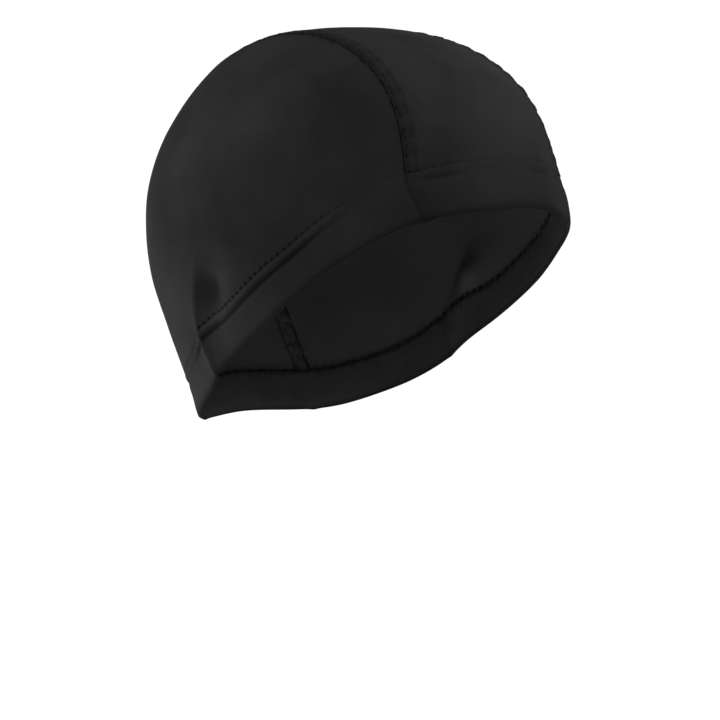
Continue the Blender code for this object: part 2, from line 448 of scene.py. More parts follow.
class Shade:
    def __init__(self, tree, socket):
        self.tree = tree
        self.socket = socket

    def node(self, kind, settings=None, out=0, **values):
        made = self.tree.nodes.new(kind)
        for name, value in (settings or {}).items():
            setattr(made, name, value)
        for name, value in values.items():
            numbered = name[0] == "i" and name[1:].isdigit()
            socket = made.inputs[int(name[1:]) if numbered else name]
            if isinstance(value, Shade):
                self.tree.links.new(value.socket, socket)
            else:
                socket.default_value = value
        return Shade(self.tree, made.outputs[out])

    def maths(self, operation, first, second=0.0):
        return self.node("ShaderNodeMath", {"operation": operation}, i0=first, i1=second)

    def __add__(self, other):
        return self.maths("ADD", self, other)

    __radd__ = __add__

    def __mul__(self, other):
        return self.maths("MULTIPLY", self, other)

    __rmul__ = __mul__

    def __sub__(self, other):
        return self.maths("SUBTRACT", self, other)

    def __rsub__(self, other):
        return self.maths("SUBTRACT", other, self)

    def sine(self):
        return self.maths("SINE", self)

    def clamp(self):
        return self.node("ShaderNodeClamp", i0=self)


# looks holds the constants of the shader's own sockets
def newMaterial(name, looks):
    material = bpy.data.materials.new(name)
    material.use_nodes = True
    tree = material.node_tree
    shader = tree.nodes["Principled BSDF"]
    for socket, value in looks.items():
        shader.inputs[socket].default_value = value
    return material, tree, shader


def mixColor(shade, share, dark, light):
    return mixed(shade, share, (*dark, 1), (*light, 1))


def mixed(shade, share, first, second):
    return shade.node("ShaderNodeMix", {"data_type": "RGBA"}, out=2, i0=share, i6=first, i7=second)


# The two parts of a piece's UV map
def mapShades(base):
    apart = base.node("ShaderNodeSeparateXYZ", i0=base.node("ShaderNodeTexCoord", out=2))
    return apart, Shade(base.tree, apart.socket.node.outputs[1])


# Knit cloth: wales follow each other along u and courses along v, in metres on the piece's UV map

clothLooks = {
    "specular": 0.002,
    "walePitch": 0.00042,
    "coursePitch": 0.00034,
    "courseSway": 0.9,
    "cloudScale": 30.0,
    "cloudDetail": 5.0,
    "cloudRoughness": 0.60,
    "cloudContrast": 1.1,
    "speckScale": 1500.0,
    "speckDetail": 2.0,
    "speckShare": 0.25,
    "knitShare": 0.10,
    "roughnessSpread": 0.12,
    "paintedShade": 0.30,  # share of the colour left at sewn -1: painted shade in the sewing's holes and grooves
    # colour raised by this at sewn 1: painted highlight on the hem's ridge, and the hem's lighter inside
    # face
    "lifted": 2.0,
    "bumpStrength": 0.45,
    "knitHeight": 0.5,
    "speckHeight": 0.7,
}

knits = {
    # name: dark, light, roughness, depth
    "panelKnit": ((0.0042, 0.0042, 0.0044), (0.0120, 0.0120, 0.0125), 0.70, 0.00006),
    "panelKnitInside": ((0.0180, 0.0180, 0.0186), (0.0300, 0.0300, 0.0310), 0.82, 0.00009),
    "hemKnit": ((0.0042, 0.0042, 0.0044), (0.0120, 0.0120, 0.0125), 0.73, 0.00006),
}


def makeKnit(name):
    dark, light, roughness, depth = knits[name]
    looks = clothLooks
    material, tree, shader = newMaterial(name, {"Metallic": 0.0, "Specular IOR Level": looks["specular"]})
    base = Shade(tree, None)
    u, v = mapShades(base)
    place = base.node("ShaderNodeTexCoord", out=3)
    turn = 2 * math.pi
    waleWave = (u * (turn / looks["walePitch"])).sine()
    courseWave = (v * (turn / looks["coursePitch"]) + waleWave * looks["courseSway"]).sine()
    knit = waleWave * 0.5 + courseWave * 0.5
    cloud = base.node(
        "ShaderNodeTexNoise", Vector=place, Scale=looks["cloudScale"], Detail=looks["cloudDetail"],
        Roughness=looks["cloudRoughness"])
    speck = base.node(
        "ShaderNodeTexNoise", Vector=place, Scale=looks["speckScale"], Detail=looks["speckDetail"])
    share = (cloud - 0.5) * looks["cloudContrast"] + speck * looks["speckShare"] + knit * looks["knitShare"]
    share = (share + (0.5 - looks["speckShare"] / 2)).clamp()
    # sewn darkens the colour with painted shade in the sewing's holes and grooves, and lightens it with
    # painted highlight on the hem's ridge
    sewn = base.node("ShaderNodeAttribute", {"attribute_name": "sewn"}, out=2)
    color = mixColor(base, share, dark, light)
    for way, factor in ((-1 * sewn, looks["paintedShade"]), (sewn, looks["lifted"])):
        changed = mixColor(base, share, [c * factor for c in dark], [c * factor for c in light])
        color = mixed(base, way.clamp(), color, changed)
    rough = (cloud - 0.5) * looks["roughnessSpread"] + roughness
    height = knit * looks["knitHeight"] + speck * looks["speckHeight"]
    bump = base.node("ShaderNodeBump", Height=height, Strength=looks["bumpStrength"], Distance=depth)
    tree.links.new(color.socket, shader.inputs["Base Color"])
    tree.links.new(rough.socket, shader.inputs["Roughness"])
    tree.links.new(bump.socket, shader.inputs["Normal"])
    return material


# Sewing thread: two plies twisted round each other along the piece's UV map

threadLooks = {
    "dark": (0.0050, 0.0050, 0.0052),
    "light": (0.0190, 0.0190, 0.0196),
    "roughness": 0.62,
    "roughnessSpread": 0.12,
    "specular": 0.003,
    "sheen": 0.05,
    "twists": 5.0,
    "plyDepth": 0.0001,
    "bumpStrength": 0.6,
}


def makeThreadMaterial():
    looks = threadLooks
    material, tree, shader = newMaterial("blackThread", {
        "Metallic": 0.0,
        "Specular IOR Level": looks["specular"],
        "Sheen Weight": looks["sheen"],
    })
    base = Shade(tree, None)
    u, v = mapShades(base)
    ply = (u * (4 * math.pi) + v * (2 * math.pi * looks["twists"])).sine()
    share = ply * 0.5 + 0.5
    color = mixColor(base, share, looks["dark"], looks["light"])
    bump = base.node(
        "ShaderNodeBump", Height=share, Strength=looks["bumpStrength"], Distance=looks["plyDepth"])
    rough = looks["roughnessSpread"] * share + (looks["roughness"] - looks["roughnessSpread"] / 2)
    tree.links.new(color.socket, shader.inputs["Base Color"])
    tree.links.new(rough.socket, shader.inputs["Roughness"])
    tree.links.new(bump.socket, shader.inputs["Normal"])
    return material


# Sheets of cloth from a grid of points

mergeWithin = 0.000004


# The sheet's vertices take their places in the grid, rows by columns, and the sewing's painted shade and
# highlight
def layOut(mesh, grid, lengths, sewn):
    rows, columns = grid.shape[0] - 1, grid.shape[1] - 1
    flat = np.zeros(len(mesh.vertices) * 3)
    mesh.vertices.foreach_get("co", flat)
    flat = flat.reshape(-1, 3) + 0.5
    j = np.rint(flat[:, 0] * columns).astype(int)
    i = np.rint(flat[:, 1] * rows).astype(int)
    mesh.vertices.foreach_set("co", (grid[i, j] + headPlace).ravel())
    mark = mesh.attributes.new("sewn", "FLOAT", "POINT")
    mark.data.foreach_set("value", sewn[i, j].astype(np.float32))
    corners = np.zeros(len(mesh.loops) * 2)
    mesh.uv_layers[0].data.foreach_get("uv", corners)
    corners = corners.reshape(-1, 2) * np.array(lengths)
    mesh.uv_layers[0].data.foreach_set("uv", corners.ravel())
    mesh.update()


def faceOutward(mesh, closed):
    faces = np.array([face.normal for face in mesh.polygons])
    middles = np.array([face.center for face in mesh.polygons]) - headPlace
    checked = len(middles) // 8 if closed else len(middles)  # a closed sheet turns back up the inside
    if np.sum(faces[:checked] * middles[:checked]) < 0:
        mesh.flip_normals()


# lengths are the sheet's size in metres along the columns and the rows. sewn darkens the colour, down to
# -1, with painted shade in the sewing's holes and grooves, or lightens it, up to 1, with painted highlight
# on its ridges and the hem's lighter inside
def clothSheet(name, grid, lengths, thickness, materials, closed=False, sewn=None):
    deselectAll()
    bpy.ops.mesh.primitive_grid_add(
        x_subdivisions=grid.shape[1] - 1, y_subdivisions=grid.shape[0] - 1, size=1)
    sheet = bpy.context.object
    sheet.name = name
    mesh = sheet.data
    mesh.name = name
    layOut(mesh, grid, lengths, np.zeros(grid.shape[:2]) if sewn is None else sewn)
    bpy.ops.object.mode_set(mode="EDIT")
    bpy.ops.mesh.select_all(action="SELECT")
    bpy.ops.mesh.remove_doubles(threshold=mergeWithin)
    bpy.ops.object.mode_set(mode="OBJECT")
    faceOutward(mesh, closed)
    for material in materials:
        mesh.materials.append(material)
    mesh.shade_smooth()
    wall = sheet.modifiers.new("wall", "SOLIDIFY")
    wall.thickness = thickness
    wall.offset = -1
    wall.use_quality_normals = True
    wall.material_offset = len(materials) - 1
    bpy.ops.object.modifier_apply(modifier="wall")
    return sheet


# The panels

panelCloth = {
    "thickness": 0.0008,
    "stretch": 1.08,  # worn length by cut length
    "waveRise": 0.00011,
    "clear": 0.0003,  # how far the panels stop short of the hem
    "endColumns": 24,  # over which the centre panel's ends bend to the line above the hem
    "narrow": 0.030,  # the side panels' rows close up where they are narrower
    "centreTuck": 0.00008,  # how far each panel reaches past the seam's line
    "sideTuck": 0.0004,
}

seamCloth = {
    "stitchesAlong": 91,
    "columnsPerStitch": 5,
    "joinWidth": 0.00045,
    "joinDepth": 0.00075,
    # painted shade in the join's groove
    "joinPaintedShade": 0.8,
    "foldWidth": 0.0052,  # how far the allowance under the centre panel reaches
    "foldFade": 0.0026,
    "foldRise": 0.00066,
    "foldShade": 0.26,
    "besideWidth": 0.0016,
    # painted shade beside the join, on the side panels
    "besidePaintedShade": 0.14,
    "sideDimple": 0.00012,
    "sideDimpleAt": 0.0006,
    "spotWidth": 0.00050,
    "wander": 0.00028,
    "puffAt": 0.0030,
    "puffWidth": 0.0011,
    "puffRise": 0.00016,
    "unevenPitch": 0.0091,
    "wanderPitch": 0.0113,
    "pullPitch": 0.0137,
    "gatherPitch": 0.0078,
    "gatherRise": 0.00042,
    "gatherReach": 0.008,
    "gatherSlant": 0.9,
    "centreSlant": 0.2,
    "leftShift": 0.0013,  # so that the two seams aren't alike
}

needleRows = [
    # distance from the join, depth, painted shade in its needle holes
    (0.0014, 0.00052, 0.85),
    (0.0046, 0.00022, 0.22),
]

# How strongly each seam draws up the cloth beside it
gathering = {"rightOfCentre": 0.35, "leftOfCentre": 2.4, "rightPanel": 1.5, "leftPanel": 2.2}


hemCloth = {
    "thickness": 0.0008,
    "stitchesRound": 156,
    "columnsPerStitch": 5,
    "rowGap": 0.0038,  # between the two needle rows
    "ridgeRise": 0.00045,
    "ridgeAt": 0.42,  # the ridge between the rows, in shares of their gap
    "ridgeWidth": 0.30,
    "grooveDepth": 0.00065,
    "grooveShift": 0.0003,
    "grooveWidth": 0.0012,
    "joinShare": 0.30,  # of the lower groove's depth, along the upper row
    "joinWidth": 0.0006,
    "needleDip": 0.00050,
    "needleWidth": 0.00062,
    "puckerRise": 0.00006,
    "puckerWidth": 0.0009,
    "bandRise": 0.00022,
    "bandFade": 0.0022,
    "rollDepth": 0.00035,
    "rollReach": 0.0022,
    "foldRadius": 0.0010,
    "insideShare": 0.95,
    "insideWave": 0.00012,
    "crossingRise": 0.00028,
    "crossingWidth": 0.0046,
    "crossingFade": 0.0016,
    "crossingDepth": 0.00035,  # of the seam's join where it crosses
    "crossingDrop": 0.0004,
    "foldedWidth": 2.2,  # both sides and the fold, by the hem's height
}

# ridge is painted highlight between the needle rows, marks the strength of the painted shade and highlight,
# crossing a darker band where a seam crosses, crossingJoinPaintedShade painted shade in the seam's join,
# rim painted shade round the fold, inside the lighter inside face
hemShades = {
    "ridge": 0.45,
    "marks": 0.8,
    "crossing": 0.12,
    "crossingJoinPaintedShade": 0.5,
    "rim": 0.45,
    "inside": 1.0,
}

# How strongly the hem's stitching marks the cloth, by degrees from the front. It hardly does over the
# forehead, where the cloth is tight, but for two patches
hemSewing = {
    "least": 0.12,
    "growsFrom": 36,
    "fullBy": 62,
    "patches": ((12, 0.45), (-21, 0.5)),  # degrees, strength
    "patchWidth": 7,
    "lessFrom": 104,  # behind the crease
    "lessBy": 112,
    "lessShare": 0.5,
}


def hemTopPoints(azimuth):
    return place(azimuth, hemLine(azimuth, 1.0))


hemAzimuths = np.linspace(-np.pi, np.pi, 3601)
hemWalked = walkAlong(hemTopPoints(hemAzimuths))


# Turns of the stitch wave round the hem, a whole number all round
def hemPhase(azimuth):
    return np.interp(azimuth, hemAzimuths, hemWalked) / hemWalked[-1] * hemCloth["stitchesRound"]


# Once a stitch, from 0 to 1
def pulse(turns):
    return (0.5 + 0.5 * np.cos(2 * np.pi * turns)) ** 2


def gathers(away, along, length, slant):
    cloth = seamCloth
    wave = drift(along - slant * away, cloth["gatherPitch"], 1.3)
    ends = smoothStep(0.06, 0.2, along / length) * (1 - smoothStep(0.8, 0.96, along / length))
    return cloth["gatherRise"] * wave * np.exp(-away / cloth["gatherReach"]) * (0.35 + 0.65 * ends)


# Height of the cloth beside a seam and the marks of its sewing: painted shade in the join, beside it and in
# the needle holes, and a darker band over the allowance. away is the distance from the join, centre the
# centre panel's side, and gathered how strongly the cloth is drawn up
def seamRelief(away, along, length, centre, gathered):
    cloth = seamCloth
    uneven = 0.5 + 0.5 * drift(along, cloth["unevenPitch"], 2.3)
    hole = pulse(along / length * cloth["stitchesAlong"]) * (0.15 + 1.2 * uneven)
    slant = cloth["centreSlant"] if centre else cloth["gatherSlant"]
    waves = gathered * gathers(away, along, length, slant)
    pulled = 0.7 + 0.3 * drift(along, cloth["pullPitch"], 0.6)
    join = np.exp(-((away / cloth["joinWidth"]) ** 2)) * pulled
    relief = -cloth["joinDepth"] * join
    marks = -cloth["joinPaintedShade"] * join
    if not centre:
        at = cloth["sideDimpleAt"]
        marks = marks - cloth["besidePaintedShade"] * np.exp(-away / cloth["besideWidth"]) * (0.5 + uneven)
        return relief + waves * 0.8 - cloth["sideDimple"] * hole * bell(away, at, at), marks
    zone = smoothStep(0.0, 0.0007, away)
    zone = zone * (1 - smoothStep(0.0, cloth["foldFade"], away - cloth["foldWidth"]))
    marks = marks - cloth["foldShade"] * zone * (0.4 + 1.1 * uneven)
    for row, depth, shade in needleRows:
        wander = cloth["wander"] * drift(along, cloth["wanderPitch"], row / mm)
        spot = bell(away, row + wander, cloth["spotWidth"]) * (0.15 + 1.15 * hole)
        relief = relief - depth * spot
        marks = marks - shade * spot
    puff = cloth["puffRise"] * (1 - hole) * bell(away, cloth["puffAt"], cloth["puffWidth"])
    return relief + cloth["foldRise"] * zone + puff + waves, marks


def hemStrength(azimuth):
    signed = np.degrees(azimuth)
    degrees = np.abs(signed)
    least = hemSewing["least"]
    strength = least + (1 - least) * smoothStep(hemSewing["growsFrom"], hemSewing["fullBy"], degrees)
    for at, more in hemSewing["patches"]:
        strength = strength + more * bell(signed, at, hemSewing["patchWidth"])
    behindCrease = smoothStep(hemSewing["lessFrom"], hemSewing["lessBy"], degrees)
    return strength * (1 - hemSewing["lessShare"] * behindCrease)


# The join above the hem, and its needle holes, by the distance from the upper needle row
def upperRow(away, hole, strength):
    cloth = hemCloth
    join = -cloth["grooveDepth"] * cloth["joinShare"] * np.exp(-((away / cloth["joinWidth"]) ** 2))
    dimple = -cloth["needleDip"] * hole * np.exp(-((away / cloth["needleWidth"]) ** 2))
    return join * (0.4 + 0.6 * strength) + dimple * strength


def hemSideRelief(above, azimuth):
    hole = pulse(hemPhase(azimuth))
    strength = hemStrength(azimuth)
    pucker = hemCloth["puckerRise"] * (1 - 2 * hole) * bell(above, 0.0010, hemCloth["puckerWidth"])
    return upperRow(above, hole, strength) + pucker * strength


# Slight unevenness of cloth stretched over a firm form
def looseWaves(points):
    x, y, z = points[..., 0], points[..., 1], points[..., 2]
    wave = np.sin(x * 95 + 2.0 * np.sin(z * 60)) * np.cos(y * 80 + 1.5 * np.sin(x * 70))
    wave = wave + 0.6 * np.sin(z * 120 + 1.3 * np.sin(y * 90 + x * 40))
    return panelCloth["waveRise"] * wave


# Heights at which the painted shade in the sewing's hollows and the painted highlight on its ridges begin,
# and over which they reach their full strength
markLimits = {"pressedFrom": -0.00016, "pressedOver": 0.00040, "raisedFrom": 0.00020, "raisedOver": 0.00030}


# Painted shade and highlight from the sewing's relief: -1, painted shade, in its holes and grooves, up to
# lift, painted highlight, on its ridges
def paintedShadeAndHighlight(relief, lift):
    paintedShade = np.clip((relief - markLimits["pressedFrom"]) / markLimits["pressedOver"], -1, 0)
    paintedHighlight = np.clip((relief - markLimits["raisedFrom"]) / markLimits["raisedOver"], 0, 1)
    return paintedShade + paintedHighlight * lift


def widthBetween(first, second):
    angle = np.arccos(np.clip(np.sum(unit(first) * unit(second), -1), -1, 1))
    return angle * np.linalg.norm(first, axis=1)


# Rows of the grids, in millimetres from a seam or a hem line
fineSteps = [0, 0.15, 0.3, 0.45, 0.6, 0.8, 1.0, 1.2, 1.4, 1.6, 1.8, 2.1, 2.5, 3.0, 3.5, 3.9, 4.2, 4.4,
             4.6, 4.8, 5.05, 5.4, 5.9, 6.6, 7.5, 8.8]
sideSteps = [0, 0.2, 0.4, 0.6, 0.8, 1.05, 1.4, 1.9, 2.6, 3.6, 5.0, 7.0]
hemwardSteps = [6.0, 4.5, 3.3, 2.6, 2.1, 1.7, 1.35, 1.05, 0.75, 0.5, 0.25, 0]
hemSteps = [0, 0.25, 0.5, 0.8, 1.1, 1.45, 1.8, 2.2, 2.6, 3.0, 3.3, 3.6, 3.85, 4.1, 4.4, 4.8, 5.3, 6.2]


def stepRows(steps):
    return np.array(steps)[:, None] * mm


def nearestRow(steps, distance):
    return int(np.abs(np.array(steps) * mm - distance).argmin())


# Shares from one row to another, without the two themselves
def innerShares(first, last, count):
    return first + (last - first) * np.linspace(0, 1, count)[1:-1, None]


def centreGrid():
    columns = seamCloth["stitchesAlong"] * seamCloth["columnsPerStitch"]
    right, left = (
        seamLine(side, -panelCloth["centreTuck"], columns, 1.0, -panelCloth["clear"]) for side in (-1, 1))
    width = widthBetween(right, left)
    near = stepRows(fineSteps) / width
    shares = np.concatenate([near, innerShares(near[-1], 1 - near[-1], 16), 1 - near[::-1]])
    grid = between(right, left, shares)
    count = panelCloth["endColumns"]
    fade = (1 - np.arange(count) / count)[None, :, None]
    for end, span, weights in ((0, slice(0, count), fade), (-1, slice(-count, None), fade[:, ::-1])):
        azimuth = azimuthOf(grid[:, end])
        wanted = place(azimuth, hemLine(azimuth, 1.0, -panelCloth["clear"]))
        shift = (wanted - grid[:, end])[:, None]
        grid[:, span] = cast(grid[:, span] + shift * weights)
    return grid, shares, right, left, width


def centreRelief(grid, shares, right, left, width):
    alongRight = walkAlong(right)
    alongLeft = walkAlong(left)
    relief, sewn = seamRelief(
        shares * width, alongRight[None, :], alongRight[-1], True, gathering["rightOfCentre"])
    other, otherSewn = seamRelief(
        (1 - shares) * width, alongLeft[None, :] + seamCloth["leftShift"], alongLeft[-1], True,
        gathering["leftOfCentre"])
    azimuth = azimuthOf(grid)
    beside = hemSideRelief(np.abs(grid[..., 2] - hemLine(azimuth, 1.0)), azimuth)
    sewn = np.clip(sewn + otherSewn + paintedShadeAndHighlight(beside, 0.0), -1, 1)
    return relief + other + beside, sewn


def sideGrid(side):
    columns = seamCloth["stitchesAlong"] * seamCloth["columnsPerStitch"]
    seam = seamLine(side, -panelCloth["sideTuck"], columns, 1.0, -panelCloth["clear"])
    ends = azimuthOf(seam[[0, -1]])
    azimuth = np.linspace(ends[0], ends[1], 1441)
    hem = respace(place(azimuth, hemLine(azimuth, 1.0, -panelCloth["clear"])), columns)
    hem[0] = seam[0]
    hem[-1] = seam[-1]
    width = widthBetween(seam, hem)
    wide = np.maximum(width, 1e-6)
    squeeze = np.minimum(1, wide / panelCloth["narrow"])
    first = stepRows(sideSteps) * squeeze / wide
    final = 1 - stepRows(hemwardSteps) * squeeze / wide
    shares = np.concatenate([first, innerShares(first[-1], final[0], 80), final])
    grid = between(seam, hem, shares)
    grid[0] = seam
    grid[-1] = hem
    return grid, shares, seam, width


def sideRelief(grid, shares, seam, width, gathered):
    along = walkAlong(seam)
    away = np.maximum(shares * width - panelCloth["sideTuck"], 0)
    relief, sewn = seamRelief(away, along[None, :], along[-1], False, gathered)
    above = (1 - shares) * width - panelCloth["clear"]
    beside = hemSideRelief(np.abs(above), azimuthOf(grid))
    return relief + beside, np.clip(sewn + paintedShadeAndHighlight(beside, 0.0), -1, 1)


def raised(grid, relief):
    return grid + gridNormals(grid) * relief[..., None]


# The hem, one folded sheet: down the outside, round the rim and up the inside

def seamCrossings():
    lines = []
    for side in (-1, 1):
        whole = seamLine(side, 0.0, 1400, 0.02)
        low = whole[:, 2] < hemLine(azimuthOf(whole), 1.0)
        front = np.arange(len(whole)) < len(whole) // 2
        lines.append((side, whole[low & front]))
        lines.append((side, whole[low & ~front]))
    return lines


# Distance from the nearest seam across the hem, positive towards the centre strip
def awayFromCrossings(points, azimuth):
    best = np.full(points.shape[:-1], 1.0)
    signed = np.full(points.shape[:-1], 1.0)
    for side, line in seamCrossings():
        turned = np.angle(np.exp(1j * (azimuth - azimuthOf(line).mean())))
        near = np.abs(turned) < 0.35
        line = line[::4]
        gap = np.linalg.norm(points[near][:, None, :] - line[None], axis=-1)
        closest = line[gap.argmin(axis=1)]
        distance = gap.min(axis=1)
        centreward = np.sign((closest[:, 0] - points[near][:, 0]) * side)
        better = distance < best[near]
        best[near] = np.where(better, distance, best[near])
        signed[near] = np.where(better, distance * centreward, signed[near])
    return signed


# The outside's height over its plain form, and the marks of its sewing: painted shade in its holes, grooves
# and round the fold, painted highlight on the ridge between the rows, darker bands where the seams cross.
# below is the distance from its top
def hemRelief(below, full, turns, azimuth, away):
    cloth = hemCloth
    gap = cloth["rowGap"]
    strength = hemStrength(azimuth)[None, :]
    halfway = pulse(turns + 0.5)[None, :]
    sewing = upperRow(below, pulse(turns)[None, :], strength)
    ridge = bell(below, gap * cloth["ridgeAt"], gap * cloth["ridgeWidth"])
    groove = bell(below, gap + cloth["grooveShift"], cloth["grooveWidth"]) * (0.9 + 0.1 * halfway)
    sewing = sewing + (cloth["ridgeRise"] * ridge - cloth["grooveDepth"] * groove) * strength
    band = cloth["bandRise"] * smoothStep(gap, gap + cloth["bandFade"], below)
    roll = smoothStep(cloth["rollReach"], 0.0, full - below)  # the fold rounds under
    crossing = smoothStep(-0.0002, 0.0007, away)
    crossingEnd = cloth["crossingWidth"] + cloth["crossingFade"]
    crossing = crossing * (1 - smoothStep(cloth["crossingWidth"], crossingEnd, away))
    # painted highlight on the ridge and painted shade in the grooves, round the fold at the rim and in the
    # crossing joins; a darker band where a seam crosses
    sewn = hemShades["marks"] * paintedShadeAndHighlight(sewing, hemShades["ridge"]) * (1 - crossing)
    sewn = sewn - hemShades["crossing"] * crossing - hemShades["rim"] * roll
    sewn = sewn - hemShades["crossingJoinPaintedShade"] * bell(away, -0.0001, 0.0006)
    relief = sewing + band - cloth["rollDepth"] * roll
    relief = relief + cloth["crossingRise"] * crossing
    return relief - cloth["crossingDepth"] * bell(away, -0.0001, 0.0005), sewn


def hemGrid():
    cloth = hemCloth
    count = cloth["stitchesRound"] * cloth["columnsPerStitch"]
    turns = np.linspace(0, cloth["stitchesRound"], count + 1)
    azimuth = np.interp(turns / cloth["stitchesRound"] * hemWalked[-1], hemWalked, hemAzimuths)
    top = stepRows(hemSteps)
    full = place(azimuth, hemLine(azimuth, 1.0)) - place(azimuth, hemLine(azimuth, 0.0))
    full = np.linalg.norm(full, axis=-1)
    full = np.minimum(full, capForm["hemHeight"] * smoothThrough(rimShares, 3, np.degrees(np.abs(azimuth))))
    lower = np.linspace(0, 1, 9)[1:, None]
    shares = np.concatenate([1 - top / full, (1 - top[-1] / full) * (1 - lower)])
    around = azimuth[None, :] + 0 * shares
    outer = place(around, hemLine(around, shares))
    normals = gridNormals(outer, True)
    away = awayFromCrossings(outer, around)
    relief, sewn = hemRelief((1 - shares) * full, full, turns, azimuth, away)
    outer = outer + normals * (relief + looseWaves(outer))[..., None]
    down = unit(outer[-1] - outer[-2])
    inward = -normals[-1]
    radius = cloth["foldRadius"]
    outer[-1] = outer[-1] + down * (cloth["crossingDrop"] * bell(away[-1], 0.0020, 0.0026))[:, None]
    centre = outer[-1] + inward * radius
    fold = np.linspace(0, np.pi, 7)[1:-1]
    foldRows = [centre - inward * radius * math.cos(a) + down * radius * math.sin(a) for a in fold]
    inShares = np.linspace(0.0, cloth["insideShare"], 10)[:, None]
    around = azimuth[None, :] + 0 * inShares
    inside = place(around, hemLine(around, inShares))
    inside = inside - gridNormals(inside, True) * (2 * radius - 0.0002)
    lift = cloth["insideWave"] * np.sin(2 * np.pi * turns)[None, :, None] * inShares[..., None]
    inside = inside - gridNormals(inside, True) * lift
    grid = np.concatenate([outer, np.stack(foldRows), inside])
    grid[:, -1] = grid[:, 0]
    # painted shade round the hem's fold under the rim
    foldPaintedShade = np.full((len(foldRows), len(azimuth)), -hemShades["rim"])
    insideMarks = np.full(inside.shape[:2], hemShades["inside"])
    sewn = np.clip(np.concatenate([sewn, foldPaintedShade, insideMarks]), -1, 1)
    return grid, sewn, len(outer), full


# Stitches: one bead of thread, copied

stitchThread = {
    "radius": 0.00021,
    "hemLength": 0.0030,
    "seamLength": 0.0026,
    "dip": 0.00030,
    "wobble": 0.05,
    "wobbleTurn": 2.4,  # radians from stitch to stitch
    "hemSink": 0.0005,  # where the cloth is tight
    "lowerSink": 0.0004,  # more for the hem's lower row
    "seamSink": 0.00012,
    "seamSinkSpread": 0.00016,
    "seamSinkTurn": 0.37,  # radians from column to column
    "looperRadius": 0.00016,
    "looperLift": 0.0004,
    "looperDepth": 0.0008,  # of the looper thread under the centre panel's inside
    "hemLooperLift": 0.0002,
    "flapRows": 22,  # of the centre panel's grid, over the allowance
    "flapThickness": 0.0006,
    "flapClear": 0.00010,
}


# A short bridge of thread along X that dives into the cloth at both ends
def oneStitch(name, length, thread):
    radius = stitchThread["radius"]
    deselectAll()
    bpy.ops.mesh.primitive_uv_sphere_add(
        segments=6, ring_count=6, radius=radius, rotation=(0, math.pi / 2, 0))
    stitch = bpy.context.object
    stitch.name = name
    bpy.ops.object.transform_apply(rotation=True)
    bpy.ops.object.mode_set(mode="EDIT")
    bpy.ops.mesh.select_all(action="SELECT")
    bpy.ops.transform.resize(value=(length / (2 * radius), 1, 1), center_override=(0, 0, 0))
    bpy.ops.object.mode_set(mode="OBJECT")
    for vertex in stitch.data.vertices:
        share = abs(vertex.co.x) / (length / 2)
        vertex.co.z -= stitchThread["dip"] * share**2.2
    stitch.data.shade_smooth()
    stitch.data.materials.append(thread)
    return stitch


# Copies of the stitch from each point to the next, sunk into the cloth; returns them
def sewRow(stitch, points, normals, sink):
    copies = []
    for k in range(len(points) - 1):
        middle = (points[k] + points[k + 1]) / 2 + headPlace
        ahead = unit(points[k + 1] - points[k])
        aside = unit(np.cross(normals[k] + normals[k + 1], ahead))
        facing = np.cross(ahead, aside)
        wobble = stitchThread["wobble"] * math.sin(k * stitchThread["wobbleTurn"])
        lift = stitchThread["radius"] * 0.4 - sink[k]
        turned = Matrix((
            (*(ahead + aside * wobble), 0),
            (*(aside - ahead * wobble), 0),
            (*facing, 0),
            (0, 0, 0, 1),
        )).transposed()
        turned.translation = Vector(middle + facing * lift)
        copied = stitch.copy()
        copied.data = stitch.data.copy()
        copied.data.transform(turned)
        bpy.context.collection.objects.link(copied)
        copies.append(copied)
    return copies


def joinAll(name, parts):
    deselectAll()
    for part in parts:
        part.select_set(True)
    bpy.context.view_layer.objects.active = parts[0]
    bpy.ops.object.join()
    joined = bpy.context.object
    joined.name = name
    joined.data.name = name
    return joined


# A tube of thread along points, made a mesh
def threadPath(name, points, thread, cyclic=False):
    deselectAll()
    data = bpy.data.curves.new(name, "CURVE")
    data.dimensions = "3D"
    data.bevel_depth = stitchThread["looperRadius"]
    data.bevel_resolution = 1
    data.use_fill_caps = True
    line = data.splines.new("POLY")
    line.points.add(len(points) - 1)
    placed = np.concatenate([points + headPlace, np.ones((len(points), 1))], 1)
    line.points.foreach_set("co", placed.ravel())
    line.use_cyclic_u = cyclic
    looper = bpy.data.objects.new(name, data)
    bpy.context.collection.objects.link(looper)
    looper.select_set(True)
    bpy.context.view_layer.objects.active = looper
    bpy.ops.object.convert(target="MESH")
    looper = bpy.context.object
    looper.data.shade_smooth()
    looper.data.materials.append(thread)
    return looper


# A looper thread that crosses from one line of points to the other and back
def zigzag(first, second, normals, lift):
    swing = np.arange(len(first)) % 4
    share = np.choose(swing, [0.0, 0.5, 1.0, 0.5])[:, None]
    arch = np.choose(swing, [0.4, 1.0, 0.4, 1.0])[:, None]
    return first * (1 - share) + second * share + normals * lift * arch


def finishPiece(piece, nodes=()):
    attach(piece, "root")
    if nodes:
        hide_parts(*nodes)


# The cloth was cut smaller by its stretch each way. The printed width of a strip is at least leastWidth
def declareCut(sheet, grid, lengths):
    leastWidth = 0.0101
    first = grid[1:, 1:] - grid[:-1, :-1]
    second = grid[1:, :-1] - grid[:-1, 1:]
    worn = float(np.linalg.norm(np.cross(first, second), axis=-1).sum() / 2)
    stretch = panelCloth["stretch"]
    width = max(lengths[1] / stretch, leastWidth)
    length = lengths[0] / stretch
    area = min(worn / stretch**2, width * length)
    print(sheet.name, "flat", round(width, 4), round(length, 4), "area", round(area, 5))


def makePanel(name, node, grid, relief, sewn, lengths, materials):
    grid = raised(grid, relief + looseWaves(grid))
    panel = clothSheet(name, grid, lengths, panelCloth["thickness"], materials, sewn=sewn)
    finishPiece(panel, [node])
    return panel, grid, lengths


